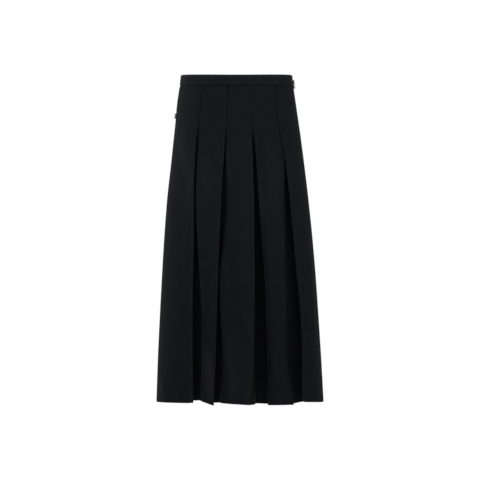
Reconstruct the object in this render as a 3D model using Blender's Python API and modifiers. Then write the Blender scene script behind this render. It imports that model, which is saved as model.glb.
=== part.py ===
# A long A-line skirt with stitched-down pleats, filled out as if worn, with no wearer.
# Metres, +Z up, +X to the viewer's right, the front faces -Y. The origin is the centre of the
# waist, half-way up the waistband. Every wall is drawn as its middle surface and thickened.

import math
from collections import namedtuple

import bpy
from mathutils import Vector

MM = 0.001

# Waistband: a ring whose top edge rises a little towards the sides.
BAND_HEIGHT = 0.025
BAND_WALL = 0.0026
BAND_SIDE_RISE = 0.0025
BAND_POINTS = 48

# Cloth: wall, the gap at each seam, and the pitch of layers that lie on each other in a pleat.
CLOTH_WALL = 0.0015
SEAM_GAP = 0.0003
LAYER_PITCH = 0.0025
TUCK = 0.009
HEM_HEIGHT = -0.8140
ROUNDNESS = 2.2

# Bends: the radius of the valley behind a fold and of the next panel's shoulder. A pressed fold
# turns within the pitch of its layers.
VALLEY_RADIUS = 0.006
VALLEY_SETBACK = 0.001
VALLEY_SINK = 1.03
SHOULDER_RADIUS = 0.006
SHOULDER_ROLL = 0.014
ROLL_RADIUS = 0.004
SMALLEST_CUT = 0.0003

# The body under the waist: half-widths to the viewer's left and right and half-depths to the
# front and back by height, how far the pleats have opened, how far their underlay has reached
# its full width, and how far the flare at the hem has set in.
Body = namedtuple("Body", "height left right front back opening reach flare")
BODY = (
    Body(+12.5 * MM, 0.1410, 0.1412, 0.099, 0.097, 0.00, 0.00, 0.00),
    Body(-12.5 * MM, 0.1443, 0.1443, 0.101, 0.099, 0.00, 0.00, 0.00),
    Body(-60 * MM, 0.1510, 0.1510, 0.106, 0.108, 0.00, 0.00, 0.00),
    Body(-105 * MM, 0.1549, 0.1577, 0.111, 0.118, 0.00, 0.00, 0.00),
    Body(-125 * MM, 0.1570, 0.1606, 0.113, 0.121, 0.05, 0.15, 0.00),
    Body(-150 * MM, 0.1597, 0.1640, 0.115, 0.124, 0.17, 0.35, 0.00),
    Body(-200 * MM, 0.1649, 0.1705, 0.118, 0.130, 0.36, 0.70, 0.00),
    Body(-300 * MM, 0.1759, 0.1825, 0.126, 0.136, 0.58, 1.00, 0.00),
    Body(-400 * MM, 0.1834, 0.1928, 0.133, 0.140, 0.70, 1.00, 0.00),
    Body(-500 * MM, 0.1893, 0.2013, 0.139, 0.144, 0.80, 1.00, 0.00),
    Body(-600 * MM, 0.1945, 0.2081, 0.144, 0.148, 0.88, 1.00, 0.15),
    Body(-700 * MM, 0.1992, 0.2146, 0.148, 0.151, 0.94, 1.00, 0.55),
    Body(HEM_HEIGHT, 0.2031, 0.2209, 0.152, 0.154, 1.00, 1.00, 1.00),
)
# How far each side seam has turned towards the front, in degrees, at the waist and at the hem.
LEFT_SEAM_TURN = (0.0, 0.0)
RIGHT_SEAM_TURN = (0.0, 13.0)

# Where the front's folds and the shoulders of the panels beside them lie across, in millimetres.
FrontLines = namedtuple("FrontLines", "height a aNext b bNext cRoll c d eNext e")
FRONT_LINES = (
    FrontLines(-12.5 * MM, -86.5, -64, -21.0, 2, 33, 41.2, 42.4, 76, 99.6),
    FrontLines(-60 * MM, -91.0, -69, -24.2, -2, 32, 40.7, 41.9, 79, 101.6),
    FrontLines(-105 * MM, -94.6, -74, -26.2, -4, 32, 40.2, 41.4, 84, 105.0),
    FrontLines(-125 * MM, -98.0, -85, -27.0, -15, 31, 39.2, 42.2, 98, 109.6),
    FrontLines(-150 * MM, -101.7, -95.4, -28.5, -24, 31, 38.8, 45.5, 109, 113.3),
    FrontLines(-200 * MM, -105.0, -98.4, -31.2, -24.9, 33, 40.5, 49.5, 119.0, 122.2),
    FrontLines(-300 * MM, -107.4, -102.0, -37.9, -27.0, 37, 43.7, 55.8, 120.7, 132.9),
    FrontLines(-400 * MM, -107.6, -98.1, -43.1, -31.1, 39, 44.7, 63.5, 123.1, 142.9),
    FrontLines(-500 * MM, -108.9, -93.0, -46.6, -38.5, 40, 45.2, 71.0, 126.0, 152.2),
    FrontLines(-600 * MM, -109.8, -88.5, -49.8, -40.5, 38, 45.3, 74.9, 130.0, 160.7),
    FrontLines(-700 * MM, -109.7, -87.4, -52.8, -37.0, 35, 45.2, 77.6, 132.5, 165.4),
    FrontLines(HEM_HEIGHT, -108.5, -87.3, -57.0, -36.0, 31, 45.0, 78.4, 138.0, 166.1),
)
BackLines = namedtuple("BackLines", "height k kNext l lNext mNext m nNext n")
BACK_LINES = (
    BackLines(-12.5 * MM, -92, -70, -32, -10, 11, 32, 70, 91),
    BackLines(-60 * MM, -95.5, -74, -33, -12, 12, 33, 74, 95.5),
    BackLines(-105 * MM, -99, -78, -34, -14, 14, 34, 79, 100),
    BackLines(-125 * MM, -102, -90, -35, -23, 23, 35, 91, 103),
    BackLines(-150 * MM, -105, -97, -37, -30, 29, 36, 98, 106),
    BackLines(-200 * MM, -110, -103, -39, -33, 33, 40, 105, 113),
    BackLines(-300 * MM, -117, -107, -43, -36, 36, 45, 110, 122),
    BackLines(-400 * MM, -121, -109, -46, -37, 38, 49, 113, 128),
    BackLines(-500 * MM, -125, -111, -48, -36, 40, 52, 116, 132),
    BackLines(-600 * MM, -128, -112, -49, -35, 40, 54, 119, 137),
    BackLines(-700 * MM, -131, -112, -50, -34, 39, 56, 122, 141),
    BackLines(HEM_HEIGHT, -133, -111, -51, -33, 38, 58, 125, 145),
)

# Each pleat in the cloth's order from the viewer's left: its column above, the side its fold
# faces (+1 the right), the column of the next panel's shoulder, the underlay's reach under its
# panel and the reach that the flare leaves, the valley's and the shoulder's depth at the hem,
# how far the hem is lifted at its fold, valley and shoulder, and whether the panel rolls over
# before the fold.
Pleat = namedtuple(
    "Pleat", "fold faces next reach flared depth nextDepth foldLift valleyLift nextLift roll"
)
FRONT_PLEATS = (
    Pleat("a", +1, "aNext", 40, 40, 52, 22, 4.0, 8.4, 6.0, None),
    Pleat("b", +1, "bNext", 32, 26, 56, 24, -0.7, 2.8, 2.0, None),
    Pleat("c", +1, None, 32, -6, 66, 0, 0.0, 0.8, 0.0, "cRoll"),
    Pleat("d", -1, None, 26, 14, 62, 0, 0.0, 0.8, 0.0, None),
    Pleat("e", -1, "eNext", 26, 24, 60, 4, 5.8, 3.0, 0.0, None),
)
BACK_PLEATS = (
    Pleat("k", +1, "kNext", 34, 34, 50, 18, 3.0, 3.0, 2.0, None),
    Pleat("l", +1, "lNext", 30, 30, 56, 18, 0.0, 2.0, 1.0, None),
    Pleat("m", -1, "mNext", 30, 30, 55, 18, 0.0, 2.0, 1.0, None),
    Pleat("n", -1, "nNext", 34, 34, 52, 18, 3.0, 3.0, 2.0, None),
)
ROLL_DEPTH = 0.010
SIDE_LIFT = 2.8
CORNER_STEPS = 2
SIDE_POINTS = 5
PANEL_POINTS = 2

# A buckled strap lies on the side of the skirt: its height and width, the buckle's place front
# to back, the frame's length and height between bar centres, and the bars' radius.
Strap = namedtuple(
    "Strap", "name side height width centre length rise bar front tip tabEnd thickness"
)
STRAPS = (
    Strap("hip", -1, -85.8, 8.6, 13, 18, 12.2, 1.1, -28, 58, 44, 1.0),
    Strap("waist", +1, -5.0, 15.0, 14, 20, 21.0, 1.25, -34, 66, 50, 1.2),
)
TAB_THICKNESS = 0.0006
TAB_WIDTH_SHARE = 0.9
TAB_MERGE = 0.008
PRONG_RADIUS = 0.0008
PRONG_SLACK = 0.0003
PRONG_BOW = 0.0004
PRONG_OVERHANG = 0.0018
HOLE_WIDTH = 0.0026
FRAME_CHAMFER = 0.0016
RIBBON_STEP = 0.0035

COLOURS = {
    "cloth": ((0.012, 0.012, 0.015), 0.9, 0.0),
    "band": ((0.014, 0.014, 0.017), 0.9, 0.0),
    "strap": ((0.010, 0.010, 0.011), 0.6, 0.0),
    "steel": ((0.62, 0.60, 0.58), 0.25, 1.0),
}


def smooth(keys, values, at):
    """Monotone cubic through the values, whose keys fall."""
    slopes = [
        (values[i + 1] - values[i]) / (keys[i + 1] - keys[i]) for i in range(len(keys) - 1)
    ]
    tangents = [slopes[0]]
    for before, after in zip(slopes, slopes[1:]):
        even = 2 * before * after / (before + after) if before * after > 0 else 0.0
        tangents.append(even)
    tangents.append(slopes[-1])
    if at >= keys[0]:
        return values[0]
    if at <= keys[-1]:
        return values[-1]
    i = next(k for k in range(len(keys) - 1) if at >= keys[k + 1])
    span = keys[i + 1] - keys[i]
    t = (at - keys[i]) / span
    return (
        (1 + 2 * t) * (1 - t) ** 2 * values[i]
        + t * (1 - t) ** 2 * span * tangents[i]
        + t * t * (3 - 2 * t) * values[i + 1]
        + t * t * (t - 1) * span * tangents[i + 1]
    )


def column(table, name, height):
    return smooth([row.height for row in table], [getattr(row, name) for row in table], height)


def bodyAt(height):
    return Body(height, *(column(BODY, name, height) for name in Body._fields[1:]))


def across(body, x, side):
    """The outline's point at x, and its outward direction: side is -1 in front, +1 behind."""
    half = body.right if x > 0 else body.left
    depth = body.front if side < 0 else body.back
    share = min(abs(x) / half, 0.9999)
    y = depth * (1 - share**ROUNDNESS) ** (1 / ROUNDNESS)
    out = Vector(
        (
            math.copysign(share ** (ROUNDNESS - 1) / half, x),
            side * (y / depth) ** (ROUNDNESS - 1) / depth,
        )
    ).normalized()
    return Vector((x, side * y)), out


def around(body, y, side):
    """The outline's point at y on one side, and its outward direction: side is -1 left, +1 right."""
    half = body.right if side > 0 else body.left
    depth = body.back if y > 0 else body.front
    share = min(abs(y) / depth, 0.9999)
    x = half * (1 - share**ROUNDNESS) ** (1 / ROUNDNESS)
    out = Vector(
        (
            side * (x / half) ** (ROUNDNESS - 1) / half,
            math.copysign(share ** (ROUNDNESS - 1) / depth, y),
        )
    ).normalized()
    return Vector((side * x, y)), out


def turned(body, degrees):
    """The outline's point and outward direction at a turn from the viewer's left (0), by way of
    the front (90), the right (180) and the back (270)."""
    turn = math.radians(degrees)
    cos, sin = -math.cos(turn), -math.sin(turn)
    half = body.right if cos > 0 else body.left
    depth = body.front if sin < 0 else body.back
    power = 2 / ROUNDNESS
    place = Vector(
        (
            math.copysign(half * abs(cos) ** power, cos),
            math.copysign(depth * abs(sin) ** power, sin),
        )
    )
    out = Vector(
        (
            math.copysign(abs(place.x / half) ** (ROUNDNESS - 1) / half, cos),
            math.copysign(abs(place.y / depth) ** (ROUNDNESS - 1) / depth, sin),
        )
    ).normalized()
    return place, out


def turnAt(body, x, side):
    """The turn at which the outline passes x, in front or behind."""
    half = body.right if x > 0 else body.left
    turn = math.degrees(math.acos(-math.copysign((abs(x) / half) ** (ROUNDNESS / 2), x)))
    return turn if side < 0 else 360 - turn


# A corner of a section: its place, its bend's radius, how far the hem is lifted there, and the
# fold that it is one half of, if any.
Corner = namedtuple("Corner", "place radius lift fold", defaults=(None,))


def corner(body, x, side, radius, depth=0.0, layer=0, lift=0.0, fold=None):
    """A corner on the outline's middle surface, sunk by a depth and by layers."""
    at, out = across(body, x, side)
    at = at - out * (CLOTH_WALL / 2 + layer * LAYER_PITCH)
    at.y -= side * depth
    return Corner(at, radius, lift, fold)


def pleatCorners(body, lines, pleat, side):
    """The corners of one pleat from its panel's edge to the next panel's shoulder."""
    fold = lines[pleat.fold] - pleat.faces * CLOTH_WALL / 2
    full = pleat.reach + (pleat.flared - pleat.reach) * body.flare
    reach = TUCK + (full * MM - TUCK) * body.reach
    depth = pleat.depth * MM * body.opening
    inner = fold - pleat.faces * reach
    foldLift, valleyLift = pleat.foldLift * MM, pleat.valleyLift * MM
    made = []
    edgeDepth = 0.0
    if pleat.roll:
        edgeDepth = ROLL_DEPTH * body.flare
        made.append(corner(body, lines[pleat.roll], side, ROLL_RADIUS, lift=foldLift))
    made += [
        corner(body, fold, side, LAYER_PITCH / 2, edgeDepth, 0, foldLift, pleat.fold),
        corner(body, fold, side, LAYER_PITCH / 2, edgeDepth, 1, foldLift, pleat.fold),
        corner(body, inner, side, LAYER_PITCH / 2, depth, 1, valleyLift, pleat.fold + " inner"),
        corner(body, inner, side, LAYER_PITCH / 2, depth, 2, valleyLift, pleat.fold + " inner"),
    ]
    if pleat.next:
        beside = lines[pleat.next]
        under = fold + pleat.faces * VALLEY_SETBACK
        nextDepth = pleat.nextDepth * MM * body.opening
        roll = SHOULDER_RADIUS + SHOULDER_ROLL * body.opening
        sunk = depth * VALLEY_SINK
        made.append(corner(body, under, side, VALLEY_RADIUS, sunk, 2, valleyLift))
        made.append(corner(body, beside, side, roll, nextDepth, 0, pleat.nextLift * MM))
    return made if pleat.faces > 0 else made[::-1]


def panelCorners(body, before, after, side, fromDepth, toDepth, fromLift, toLift):
    """Soft points across a panel between two pleats, level with the outline in its middle."""
    made = []
    for k in range(1, PANEL_POINTS + 1):
        share = k / (PANEL_POINTS + 1)
        x = before + (after - before) * share
        depth = fromDepth * (1 - share) ** 2 + toDepth * share**2
        lift = fromLift + (toLift - fromLift) * share
        made.append(corner(body, x, side, 0.0, depth, 0, lift))
    return made


def sideCorners(body, start, end, lifts):
    """Points round a side of the outline, from one turn to another."""
    made = []
    for k in range(SIDE_POINTS):
        share = k / SIDE_POINTS
        at, out = turned(body, start + (end - start) * share)
        lift = lifts[0] + (lifts[1] - lifts[0]) * share
        made.append(Corner(at - out * CLOTH_WALL / 2, 0.0, lift * MM))
    return made


def rounded(corners):
    """The corners, each with a radius replaced by a bend that keeps to its radius and room."""
    points = [(corners[0].place, corners[0].lift)]
    for before, here, after in zip(corners, corners[1:], corners[2:]):
        if not here.radius:
            points.append((here.place, here.lift))
            continue
        back, on = before.place - here.place, after.place - here.place
        turn = math.pi - back.angle(on, math.pi)
        room = 0.45 * min(back.length, on.length)
        cut = min(max(here.radius * math.tan(min(turn, 3.0) / 2), SMALLEST_CUT), room)
        runsOn = here.fold is not None and before.fold == here.fold
        if here.fold:
            cut = (back if runsOn else on).length / 2
        start, end = here.place + back.normalized() * cut, here.place + on.normalized() * cut
        for k in range(1 if runsOn else 0, CORNER_STEPS + 1):
            t = k / CORNER_STEPS
            bend = start * (1 - t) ** 2 + here.place * 2 * t * (1 - t) + end * t * t
            points.append((bend, here.lift))
    points.append((corners[-1].place, corners[-1].lift))
    return points


def section(height, table, pleats, side):
    """One level of the front (side -1) or the back (+1), from the viewer's left to the right."""
    body = bodyAt(height)
    lines = {
        name: column(table, name, height) * MM for name in table[0]._fields if name != "height"
    }
    share = (height + BAND_HEIGHT / 2) / (HEM_HEIGHT + BAND_HEIGHT / 2)
    left = LEFT_SEAM_TURN[0] + (LEFT_SEAM_TURN[1] - LEFT_SEAM_TURN[0]) * share
    right = 180 - RIGHT_SEAM_TURN[0] - (RIGHT_SEAM_TURN[1] - RIGHT_SEAM_TURN[0]) * share
    gap = math.degrees(SEAM_GAP / 2 / body.front)
    ends = (left + gap, right - gap) if side < 0 else (360 + left - gap, right + gap)
    groups = [pleatCorners(body, lines, pleat, side) for pleat in pleats]
    first = turnAt(body, groups[0][0].place.x, side)
    last = turnAt(body, groups[-1][-1].place.x, side)
    corners = sideCorners(body, ends[0], first, (0.0, SIDE_LIFT))
    for k, group in enumerate(groups):
        corners += group
        if k + 1 < len(groups) and not (pleats[k].next is None and pleats[k + 1].next is None):
            corners += between(body, lines, pleats[k], pleats[k + 1], side)
    corners += sideCorners(body, ends[1], last, (0.0, SIDE_LIFT))[::-1]
    grown = share**1.5
    return [(p.x, p.y, height + lift * grown) for p, lift in rounded(corners)]


def between(body, lines, pleat, following, side):
    """The panel that follows one pleat and leads to another."""
    opens, closes = pleat.faces > 0, following.faces < 0
    before = lines[pleat.next] if opens else lines[pleat.fold]
    after = lines[following.next] if closes else lines[following.roll or following.fold]
    fromDepth = pleat.nextDepth * MM * body.opening if opens else 0.0
    toDepth = following.nextDepth * MM * body.opening if closes else 0.0
    fromLift = (pleat.nextLift if opens else pleat.foldLift) * MM
    toLift = (following.nextLift if closes else following.foldLift) * MM
    return panelCorners(body, before, after, side, fromDepth, toDepth, fromLift, toLift)


def material(name, kind):
    colour, roughness, metallic = COLOURS[kind]
    made = bpy.data.materials.new(name)
    made.use_nodes = True
    shader = made.node_tree.nodes["Principled BSDF"]
    shader.inputs["Base Color"].default_value = (*colour, 1.0)
    shader.inputs["Roughness"].default_value = roughness
    shader.inputs["Metallic"].default_value = metallic
    return made


def place(name, data, kind, collection):
    made = bpy.data.objects.new(name, data)
    made.data.materials.append(material(name, kind))
    collection.objects.link(made)
    return made


def surface(name, rows, thickness, kind, collection, closed=False, without=()):
    """An open surface through rows of points, thickened to both sides of itself."""
    count = len(rows[0])
    points = [point for row in rows for point in row]
    faces = []
    for i in range(len(rows) - 1):
        for j in range(count if closed else count - 1):
            if (i, j) in without:
                continue
            a, b = i * count + j, i * count + (j + 1) % count
            faces.append((a, a + count, b + count, b))
    mesh = bpy.data.meshes.new(name)
    mesh.from_pydata(points, [], faces)
    mesh.shade_smooth()
    made = place(name, mesh, kind, collection)
    wall = made.modifiers.new("wall", "SOLIDIFY")
    wall.thickness = thickness
    wall.offset = 0.0
    wall.use_even_offset = True
    return made


def skirtPanel(name, table, pleats, side, collection):
    heights = [row.height for row in table]
    heights[0] -= SEAM_GAP
    rows = [section(height, table, pleats, side) for height in heights]
    if side > 0:
        rows = [row[::-1] for row in rows]
    return surface(name, rows, CLOTH_WALL, "cloth", collection)


def waistband(collection):
    rows = []
    for height, rises in ((BAND_HEIGHT / 2, 1.0), (0.0, 0.5), (-BAND_HEIGHT / 2, 0.0)):
        body = bodyAt(height)
        ring = []
        for k in range(BAND_POINTS):
            at, out = turned(body, 360 * k / BAND_POINTS)
            at = at - out * BAND_WALL / 2
            rise = BAND_SIDE_RISE * rises * abs(at.x / body.left) ** 2
            ring.append((at.x, at.y, height + rise))
        rows.append(ring)
    return surface("waistband", rows, BAND_WALL, "band", collection, closed=True)


def onSide(strap, y, rise, lift):
    """A point over the skirt's side: front to back, above the strap's middle, and outwards."""
    height = strap.height * MM + rise
    at, out = around(bodyAt(height), y, strap.side)
    at = at + out * lift
    return Vector((at.x, at.y, height))


def ribbon(name, strap, path, columns, thickness, collection, slot=None):
    """A strip along a path of (front to back, lift, half-width) stations, which bends with the
    side between them; slot is the stretch whose middle column is left open."""
    stations = [path[0]]
    for start, end in zip(path, path[1:]):
        steps = max(1, math.ceil(abs(end[0] - start[0]) / RIBBON_STEP))
        for k in range(1, steps + 1):
            stations.append(tuple(a + (b - a) * k / steps for a, b in zip(start, end)))
    rows = [
        [onSide(strap, y, half * c, lift) for c in columns] for y, lift, half in stations
    ]
    if strap.side < 0:
        rows = [row[::-1] for row in rows]
    without = set()
    if slot:
        for k, (start, end) in enumerate(zip(stations, stations[1:])):
            if start[0] > slot[0] and end[0] < slot[1]:
                without.add((k, 1))
    return surface(name, rows, thickness, "strap", collection, without=without)


def wire(name, points, radius, closed, collection):
    curve = bpy.data.curves.new(name, "CURVE")
    curve.dimensions = "3D"
    curve.bevel_depth = radius
    curve.bevel_resolution = 2
    curve.use_fill_caps = not closed
    spline = curve.splines.new("POLY")
    spline.points.add(len(points) - 1)
    for point, target in zip(spline.points, points):
        point.co = (*target, 1.0)
    spline.use_cyclic_u = closed
    return place(name, curve, "steel", collection)


def buckledStrap(strap, collection):
    """A strap sewn down in front, through a frame at the side, and the tab that holds it."""
    half = strap.width * MM / 2
    leather = strap.thickness * MM
    bar = strap.bar * MM
    far = (strap.centre - strap.length / 2) * MM
    heel = (strap.centre + strap.length / 2) * MM
    low = SEAM_GAP + leather / 2
    barLift = SEAM_GAP + leather + SEAM_GAP + bar
    loop = bar + SEAM_GAP + TAB_THICKNESS / 2
    over = barLift + loop + TAB_THICKNESS / 2 + SEAM_GAP + leather / 2
    tabLow = SEAM_GAP + TAB_THICKNESS / 2
    tabTop = tabLow + TAB_THICKNESS + SEAM_GAP
    end = tabTop + TAB_THICKNESS / 2 + SEAM_GAP + leather / 2

    climb = (over - low) / 4
    path = [
        (strap.front * MM, low, half),
        (far, low, half),
        (far + 0.0030, low + climb * 0.3, half),
        (far + 0.0065, low + climb * 1.5, half),
        (heel - 0.0055, over - climb * 0.7, half),
        (heel - 0.0020, over, half),
        (heel + 0.0020, over, half),
        (heel + 0.0070, over - climb * 0.9, half),
        (heel + 0.0150, end + SEAM_GAP, half),
        (strap.tip * MM - 0.008, end, half),
        (strap.tip * MM - 0.003, end, half * 0.72),
        (strap.tip * MM, end, half * 0.25),
    ]
    slot = HOLE_WIDTH / 2 / half
    ribbon(
        strap.name + "_strap", strap, path, (-1, -slot, slot, 1), leather, collection,
        slot=(far + 0.0025, heel - 0.0050),
    )

    tabHalf = half * TAB_WIDTH_SHARE
    tab = [(strap.tabEnd * MM, tabLow, tabHalf), (heel + TAB_MERGE, tabLow, tabHalf)]
    for degrees in range(-100, -281, -30):
        turn = math.radians(degrees)
        onward, lift = loop * math.cos(turn), loop * math.sin(turn)
        tab.append((heel + onward, barLift + lift, tabHalf))
    tab += [(heel + TAB_MERGE, tabTop + SEAM_GAP, tabHalf), (strap.tabEnd * MM, tabTop, tabHalf)]
    ribbon(strap.name + "_tab", strap, tab, (-1, 1), TAB_THICKNESS, collection)

    up = strap.rise * MM / 2
    chamfer = FRAME_CHAMFER
    outline = [
        (far, -up + chamfer), (far, up - chamfer), (far + chamfer, up), (heel - chamfer, up),
        (heel, up - chamfer), (heel, -up + chamfer), (heel - chamfer, -up), (far + chamfer, -up),
    ]
    farBar, heelBar = (onSide(strap, y, 0.0, barLift) for y in (far, heel))
    tall = (onSide(strap, far, up, barLift) - onSide(strap, far, -up, barLift)) / (2 * up)
    frame = []
    for y, z in outline:
        share = (y - far) / (heel - far)
        frame.append(farBar.lerp(heelBar, share) + tall * z)
    wire(strap.name + "_buckle", frame, bar, True, collection)

    prongLift = barLift + bar + SEAM_GAP + PRONG_RADIUS
    prong = [
        onSide(strap, heel - loop - TAB_THICKNESS / 2 - SEAM_GAP - PRONG_SLACK, 0.0, barLift),
        onSide(strap, (far + heel) / 2, 0.0, (barLift + prongLift) / 2 + PRONG_BOW),
        onSide(strap, far + bar, 0.0, prongLift),
        onSide(strap, far - PRONG_OVERHANG, 0.0, prongLift),
    ]
    wire(strap.name + "_prong", prong, PRONG_RADIUS, False, collection)


def main():
    for old in list(bpy.data.objects):
        bpy.data.objects.remove(old)
    collection = bpy.data.collections.new("pleated_skirt")
    bpy.context.scene.collection.children.link(collection)
    waistband(collection)
    skirtPanel("skirt_front", FRONT_LINES, FRONT_PLEATS, -1, collection)
    skirtPanel("skirt_back", BACK_LINES, BACK_PLEATS, +1, collection)
    for strap in STRAPS:
        buckledStrap(strap, collection)


main()
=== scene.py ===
import math
from collections import namedtuple

import bpy
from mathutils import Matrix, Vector


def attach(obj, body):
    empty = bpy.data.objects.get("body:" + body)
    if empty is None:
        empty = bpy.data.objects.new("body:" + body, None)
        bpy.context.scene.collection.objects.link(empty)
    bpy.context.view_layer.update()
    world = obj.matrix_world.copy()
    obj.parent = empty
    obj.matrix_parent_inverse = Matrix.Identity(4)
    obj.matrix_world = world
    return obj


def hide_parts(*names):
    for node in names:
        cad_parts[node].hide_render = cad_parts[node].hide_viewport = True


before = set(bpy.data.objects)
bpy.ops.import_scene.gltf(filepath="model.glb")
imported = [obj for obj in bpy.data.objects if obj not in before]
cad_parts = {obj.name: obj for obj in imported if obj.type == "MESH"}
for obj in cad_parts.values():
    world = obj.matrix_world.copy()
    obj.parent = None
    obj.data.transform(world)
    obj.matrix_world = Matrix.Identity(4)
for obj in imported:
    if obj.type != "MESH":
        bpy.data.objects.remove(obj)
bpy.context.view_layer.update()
print("frame loaded:", ", ".join(sorted(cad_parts)))

mm = 0.001


def mix(start, end, share):
    return start + (end - start) * share


def evenly(start, end, steps):
    return [mix(start, end, k / steps) for k in range(steps + 1)]


def smoothStep(value):
    t = min(max(value, 0.0), 1.0)
    return t * t * (3 - 2 * t)


def smoothThrough(keys, values, at):
    # monotone cubic through the values, whose keys fall
    if at >= keys[0]:
        return values[0]
    if at <= keys[-1]:
        return values[-1]
    slopes = [(v - u) / (q - p) for u, v, p, q in zip(values, values[1:], keys, keys[1:])]
    inner = [2 * a * b / (a + b) if a * b > 0 else 0.0 for a, b in zip(slopes, slopes[1:])]
    tangents = [slopes[0], *inner, slopes[-1]]
    i = next(k for k in range(len(keys) - 1) if at >= keys[k + 1])
    span = keys[i + 1] - keys[i]
    t = (at - keys[i]) / span
    return (
        (1 + 2 * t) * (1 - t) ** 2 * values[i]
        + t * (1 - t) ** 2 * span * tangents[i]
        + t * t * (3 - 2 * t) * values[i + 1]
        + t * t * (t - 1) * span * tangents[i + 1]
    )


def table(kind, first, last, *rows):
    # rows with named columns, of which those from the first up to the last are in millimetres
    return [kind(*row[:first], *(v * mm for v in row[first:last]), *row[last:]) for row in rows]


def column(rows, name, height):
    keys = [row.height for row in rows]
    return smoothThrough(keys, [getattr(row, name) for row in rows], height)


def newObject(name, data):
    made = bpy.data.objects.new(name, data)
    bpy.context.scene.collection.objects.link(made)
    return made


def newMesh(name, points, faces):
    mesh = bpy.data.meshes.new(name)
    mesh.from_pydata(points, [], faces)
    return newObject(name, mesh)


def riding(piece, slotName, *replaced):
    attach(piece, "root")
    if replaced:
        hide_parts(*replaced)


skirt = {
    "hemHeight": -0.8140,
    "seamHeight": -0.0114,  # of the seam under the waistband
    "roundness": 2.2,  # power of the rounded oval
    "fullness": 0.0008,  # of the soft cloth outside the frame's form
    "cloth": 0.0007,
    "stitchedPitch": 0.0009,  # layers of a pleat where it is stitched down
    "openPitch": 0.0025,  # and where it hangs free
    "freeFrom": 0.17,  # the opening at which a pleat's layers have parted
    "tuck": 0.009,
    "foldHold": 0.0009,
    "valleyRadius": 0.006,
    "valleySetback": 0.001,
    "valleySink": 1.03,
    "footShare": (0.03, 0.14),  # how far a shoulder's wall slants, above and at the hem
    "footDepth": 0.8,
    "footLift": 0.3,
    "footRadius": 0.004,
    "bendRoom": 1.4,  # bend radii from a shoulder to its panel's first point
    "bendCut": 0.45,  # the most that a bend takes of a run
    "bendTurn": 3.0,  # and the sharpest turn, in radians
    # painted shade on a shoulder's wall and bend, and inside an opened pleat
    "bendShade": 0.8,
    "gapShade": 0.7,
    "foldSpread": 1.4,  # of a fold's painted highlight round it
    "foldBeside": 0.5,  # its share beside the fold
    "rollRadius": 0.004,
    "rollDepth": 0.024,
    "smallestCut": 0.0001,
    "bendSteps": 6,
    "panelSteps": 22,
    "sideSteps": 24,
    "sideCrowding": 1.6,  # points lie closer together towards the side seams
    "underSteps": 4,
    "leftLift": (1.4, 4.0),  # of the hem at the side seam and the next fold, in mm
    "rightLift": (1.6, 5.4),
    "liftPower": 1.5,  # how the lift grows downwards
    "seamGap": 0.0004,  # degrees between the front's and the back's edges
    "seamSink": 0.0006,  # how far both edges turn in
    "seamPoints": 3,  # over which the side seams' shine fades
    "seamDip": 0.0012,  # the seam under the waistband pulls the cloth in
    "seamSpread": 0.0026,
    # painted shade in the seam under the waistband and along stitched folds
    "seamShade": 0.62,
    "stitchShade": 0.15,
    "meetingShine": 0.1,  # painted highlight where two folds meet edge to edge
    "rightSeamTurn": 13.0,  # degrees towards the front at the hem
    "rightSeamShine": (0.3, 0.55),  # painted highlight at the right seam, under the waistband and where the pleats hang free
    # painted highlight along the left seam
    "leftSeamShine": 0.3,
    # painted highlight on a rolled ridge, and painted shade on the fold beside it
    "rollShine": 0.9,
    "rollShade": 0.75,
    "creaseReach": 0.02,  # no creases deeper than this
    "creaseFade": 0.25,  # share of a crease's length, inside and past each end
    "creaseEdge": 3.0,  # half-widths from its middle to where it ends
    "hemLayer": 0.00078,
    "hemRows": (0.0004, 0.004, 0.012, 0.02376, 0.036),  # of the turn-up, above the hem
    # the hem's painted highlight reaches this far up
    "hemEdge": 0.0026,
    "hemShineReach": 0.008,  # no painted highlight at the hem deeper than this
    "startHeight": -12.0,  # in mm, as are the stretches' ends, each with its rows
    "stretches": ((-18, 7), (-100, 12), (-160, 16), (-780, 62), (-810.5, 6), (-813.6, 4)),
}

# half-widths and half-depths in millimetres; how far the pleats have opened, how far their
# underlay reaches, and how far the hem's flare has set in
Body = namedtuple("Body", "height left right front back opening reach flare")
bodyRows = table(
    Body, 0, 5,
    (12.5, 141, 141.2, 99, 97, 0, 0, 0),
    (-12.5, 144.3, 144.3, 101, 99, 0, 0, 0),
    (-60, 151, 151, 106, 108, 0, 0, 0),
    (-105, 154.9, 157.7, 111, 118, 0, 0, 0),
    (-125, 157, 160.6, 113, 121, 0.05, 0.15, 0),
    (-150, 159.7, 164, 115, 124, 0.17, 0.35, 0),
    (-200, 164.9, 170.5, 118, 130, 0.36, 0.7, 0),
    (-300, 175.9, 182.5, 126, 136, 0.58, 1, 0),
    (-400, 183.4, 192.8, 133, 140, 0.7, 1, 0),
    (-500, 189.3, 201.3, 139, 144, 0.8, 1, 0),
    (-600, 194.5, 208.1, 144, 148, 0.88, 1, 0.15),
    (-700, 199.2, 214.6, 148, 151, 0.94, 1, 0.55),
    (-814, 203.1, 220.9, 152, 154, 1, 1, 1),
)

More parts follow.
